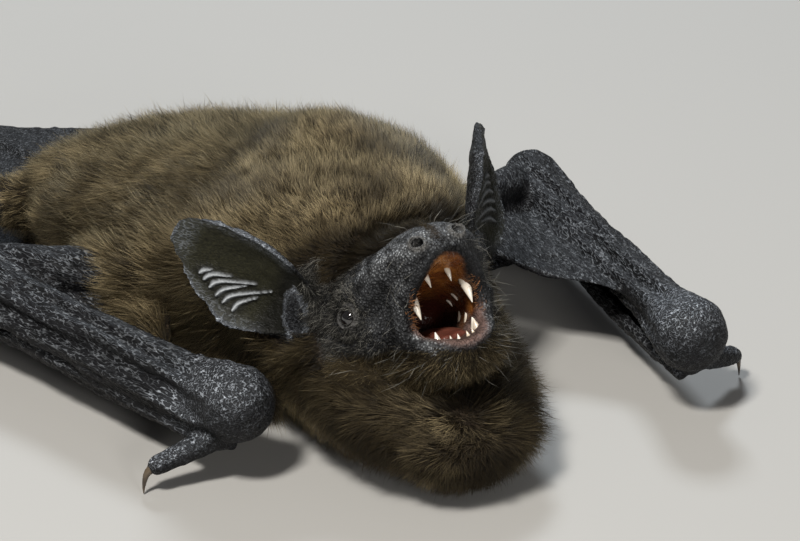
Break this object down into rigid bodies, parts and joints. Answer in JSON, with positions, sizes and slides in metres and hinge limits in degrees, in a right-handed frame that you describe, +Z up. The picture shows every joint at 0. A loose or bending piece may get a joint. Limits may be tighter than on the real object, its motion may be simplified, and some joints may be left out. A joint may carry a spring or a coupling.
{
  "type": "life-size bat model",
  "caption": "Life-size still model of a small brown-furred bat, crouched with folded wings, head raised and mouth open.",
  "frame": {"origin": "middle of the flat under the belly, on the surface the bat rests on", "axes": "+X towards the bat's left, +Y towards its tail, +Z up; the bat faces -Y"},
  "size_m": [0.0462, 0.0814, 0.0189],
  "materials": {
    "coat": "dark brown fur with golden tips",
    "bare_skin": "black, finely wrinkled, slightly shiny skin",
    "eye": "wet glossy black",
    "claw": "dark translucent horn",
    "mouth": "wet reddish flesh",
    "tooth": "smooth white enamel"
  },
  "bodies": {
    "root": {"lower_jaw": "coat", "tongue": "mouth", "head": "coat", "eye_right": "eye", "ear_right": "bare_skin", "tragus_right": "bare_skin", "eye_left": "eye", "ear_left": "bare_skin", "tragus_left": "bare_skin", "neck": "coat", "trunk": "coat", "tail": "bare_skin", "thigh_right": "coat", "shin_right": "bare_skin", "foot_right": "bare_skin", "forearm_right": "bare_skin", "upper_arm_right": "coat", "thumb_right": "bare_skin", "thumb_claw_right": "claw", "fingers_right": "bare_skin", "front_web_right": "bare_skin", "wing_web_right": "bare_skin", "tail_web_right": "bare_skin", "thigh_left": "coat", "shin_left": "bare_skin", "foot_left": "bare_skin", "forearm_left": "bare_skin", "upper_arm_left": "coat", "thumb_left": "bare_skin", "thumb_claw_left": "claw", "fingers_left": "bare_skin", "front_web_left": "bare_skin", "wing_web_left": "bare_skin", "tail_web_left": "bare_skin"}
  },
  "joints": []
}
